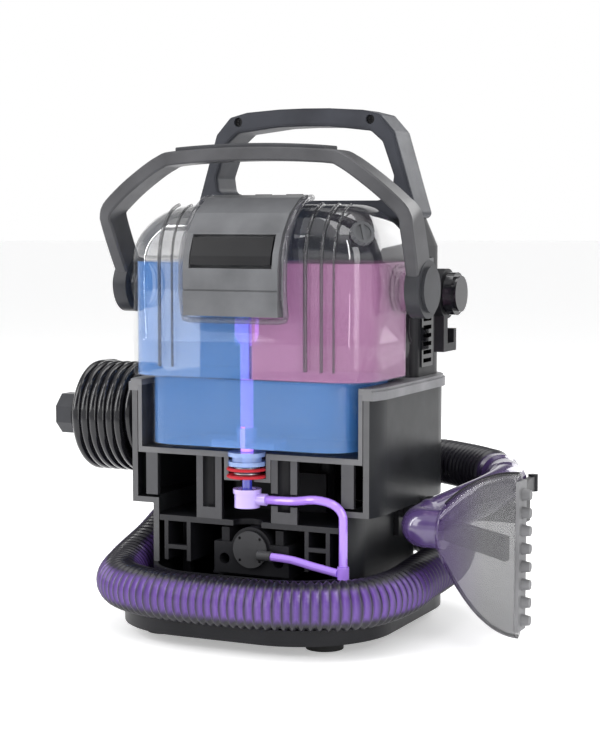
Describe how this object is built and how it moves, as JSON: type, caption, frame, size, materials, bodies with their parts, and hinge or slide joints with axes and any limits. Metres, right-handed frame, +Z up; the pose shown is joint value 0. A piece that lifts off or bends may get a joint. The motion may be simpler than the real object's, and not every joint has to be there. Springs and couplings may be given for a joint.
{
  "type": "portable carpet cleaner",
  "caption": "Portable carpet spot cleaner with its housing sectioned: clear two-chamber tank, bail, carry handle, wrapped suction hose, fan-shaped hand tool and wound cord.",
  "frame": {"origin": "middle of the machine's footprint box without the hose and cord, on the floor", "axes": "+Z up, +Y to the rear where the carry handle is, +X to the side with the hand tool"},
  "size_m": [0.38, 0.2674, 0.372],
  "materials": {
    "black_plastic": "fine satin texture",
    "gloss_black": "polished",
    "grey_plastic": "fine satin texture",
    "cut_face": "sectioned faces, satin",
    "rubber": "matt",
    "metal": "brushed",
    "seal_red": "satin",
    "lilac": "polished",
    "purple_tube": "translucent",
    "clear": "clear moulded plastic",
    "blue_water": "clear liquid",
    "pink_formula": "clear liquid",
    "smoke": "smoked clear plastic",
    "hose_purple": "corrugated, translucent",
    "bail_grey": "satin",
    "deep_blue": "polished"
  },
  "bodies": {
    "machine": {"base_pan": "black_plastic", "rubber_feet": "rubber", "base_housing": "black_plastic", "housing_rim": "cut_face", "tank_well": "cut_face", "inner_frame": "black_plastic", "screw_bosses": "cut_face", "pump_bracket": "black_plastic", "pump_housing": "black_plastic", "pump_head": "cut_face", "pump_motor": "metal", "valve_receiver": "lilac", "valve_seals": "seal_red", "valve_spring": "metal", "feed_tube_upper": "purple_tube", "feed_tube_lower": "purple_tube", "tube_elbow": "purple_tube", "tower_shell": "black_plastic", "rear_cover": "black_plastic", "vent_grille": "gloss_black", "handle_front": "grey_plastic", "handle_rear": "grey_plastic", "handle_screws": "metal", "vacuum_motor": "metal", "fan_housing": "black_plastic", "cord_spindle": "black_plastic", "spindle_cap": "black_plastic", "strain_relief": "black_plastic", "power_cord": "gloss_black", "power_tail": "gloss_black", "power_plug": "black_plastic", "hose_outlet": "black_plastic", "hose": "hose_purple", "tool_handle": "hose_purple", "nozzle_shell": "smoke", "nozzle_duct": "black_plastic", "brush_teeth": "rubber", "tool_cradle": "black_plastic", "side_post": "gloss_black"},
    "fan": {"fan_impeller": "metal"},
    "power_switch": {"power_button": "grey_plastic"},
    "hook": {"side_hook": "black_plastic"},
    "trigger": {"spray_trigger": "black_plastic"},
    "tank": {"tank_shell": "clear", "chamber_wall": "clear", "clean_water": "blue_water", "formula": "pink_formula", "mixing_tube": "purple_tube", "mixing_head": "purple_tube", "tank_valve_body": "clear", "trunnions": "clear", "hinge_barrels": "gloss_black"},
    "plunger": {"valve_stem": "deep_blue"},
    "fill_door": {"latch_panel": "bail_grey"},
    "latch": {"latch_bar": "gloss_black"},
    "cap": {"fill_cap": "bail_grey"},
    "bail": {"bail_arms": "bail_grey", "bail_grip": "black_plastic", "bail_hubs": "grey_plastic"}
  },
  "joints": [
    {"name": "tank_lift", "type": "slide", "parent": "machine", "child": "tank", "axis": [0, 0, 1], "range_m": [0, 0.18]},
    {"name": "bail_swing", "type": "hinge", "parent": "tank", "child": "bail", "pos_m": [-0.01, -0.02, 0.244], "axis": [1, 0, 0], "range_deg": [-32, 90]},
    {"name": "door_hinge", "type": "hinge", "parent": "tank", "child": "fill_door", "pos_m": [-0.01, -0.033, 0.3058], "axis": [-1, 0, 0], "range_deg": [0, 55]},
    {"name": "latch_pull", "type": "hinge", "parent": "fill_door", "child": "latch", "pos_m": [-0.01, -0.079, 0.2775], "axis": [-1, 0, 0], "range_deg": [0, 25], "stiffness_Nm_per_rad": 0.05},
    {"name": "cap_turn", "type": "hinge", "parent": "tank", "child": "cap", "pos_m": [0.0745, -0.058, 0.2814], "axis": [0.6943, -0.5826, 0.4226], "range_deg": [0, 90]},
    {"name": "valve_press", "type": "slide", "parent": "tank", "child": "plunger", "axis": [0, 0, 1], "range_m": [0, 0.004], "stiffness_N_per_m": 200},
    {"name": "fan_spin", "type": "hinge", "parent": "machine", "child": "fan", "pos_m": [0.02, 0.066, 0.15], "axis": [0, 0, 1], "continuous": true},
    {"name": "button_press", "type": "slide", "parent": "machine", "child": "power_switch", "axis": [-1, 0, 0], "range_m": [0, 0.0015], "stiffness_N_per_m": 400},
    {"name": "hook_turn", "type": "hinge", "parent": "machine", "child": "hook", "pos_m": [0.09, 0.056, 0.238], "axis": [1, 0, 0], "range_deg": [-90, 90]},
    {"name": "trigger_press", "type": "hinge", "parent": "machine", "child": "trigger", "pos_m": [0.16387, 0.04412, 0.106], "axis": [0, 0, -1], "range_deg": [0, 5], "stiffness_Nm_per_rad": 0.3}
  ]
}
